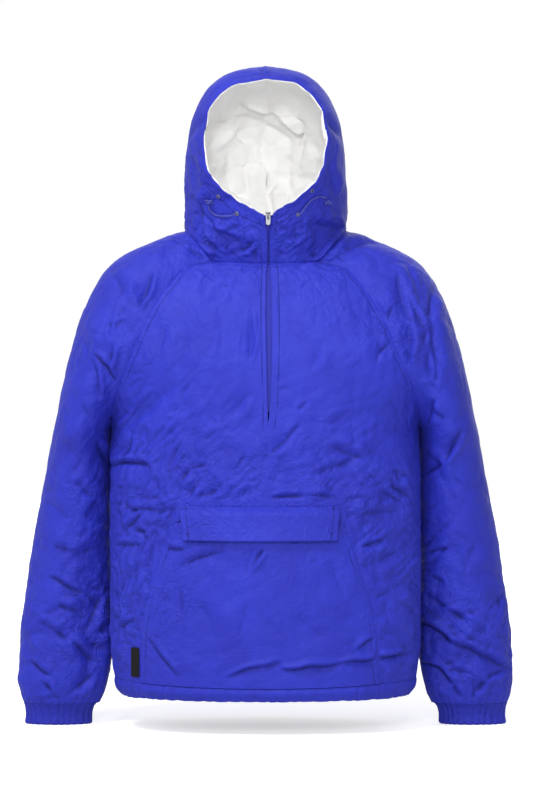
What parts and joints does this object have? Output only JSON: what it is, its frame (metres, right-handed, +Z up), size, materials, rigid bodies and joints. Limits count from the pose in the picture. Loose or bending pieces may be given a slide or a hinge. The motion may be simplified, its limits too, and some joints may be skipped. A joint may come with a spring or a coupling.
{
  "type": "anorak pullover",
  "caption": "Hooded pullover anorak of padded blue nylon in its worn form: half zip to the chin, white-lined hood, raglan sleeves, kangaroo pocket with flap, elastic cuffs and hem.",
  "frame": {"origin": "middle of the neck opening, level with the neck seam at the shoulders", "axes": "+X across the garment towards its left sleeve as worn, front faces -Y, +Z up towards the hood"},
  "size_m": [0.772, 0.3028, 1.0172],
  "materials": {
    "shell_nylon": "plain woven nylon with a soft sheen, lightly padded",
    "cuff_nylon": "the same nylon, gathered over elastic",
    "hood_lining": "matt white brushed lining",
    "zip_tape": "woven polyester tape",
    "zip_coil": "nylon coil",
    "zip_metal": "polished plating",
    "eyelet_metal": "polished plating",
    "label_weave": "matt black woven label, bare",
    "cord_polyester": "braided polyester cord"
  },
  "bodies": {
    "garment": {"back": "shell_nylon", "front_left": "shell_nylon", "front_right": "shell_nylon", "sleeve_left": "shell_nylon", "sleeve_right": "shell_nylon", "hood_left": "shell_nylon", "hood_right": "shell_nylon", "hem_band": "shell_nylon", "cuff_left": "cuff_nylon", "cuff_right": "cuff_nylon", "pocket_panel": "shell_nylon", "pocket_flap": "shell_nylon", "hood_lining_left": "hood_lining", "hood_lining_right": "hood_lining", "zip_tape_left": "zip_tape", "zip_tape_right": "zip_tape", "zip_chain": "zip_coil", "zip_slider": "zip_metal", "eyelet_lower_left": "eyelet_metal", "eyelet_lower_right": "eyelet_metal", "eyelet_upper_left": "eyelet_metal", "eyelet_upper_right": "eyelet_metal", "side_label": "label_weave", "drawcord_left": "cord_polyester", "drawcord_right": "cord_polyester", "cord_knot_left": "cord_polyester", "cord_knot_right": "cord_polyester"},
    "pull_tab": {"zip_pull": "zip_metal"}
  },
  "joints": [
    {"name": "pull_tab_hinge", "type": "hinge", "parent": "garment", "child": "pull_tab", "pos_m": [0.004, -0.1297, 0.03037], "axis": [-1, 0, 0], "range_deg": [0, 150]}
  ]
}
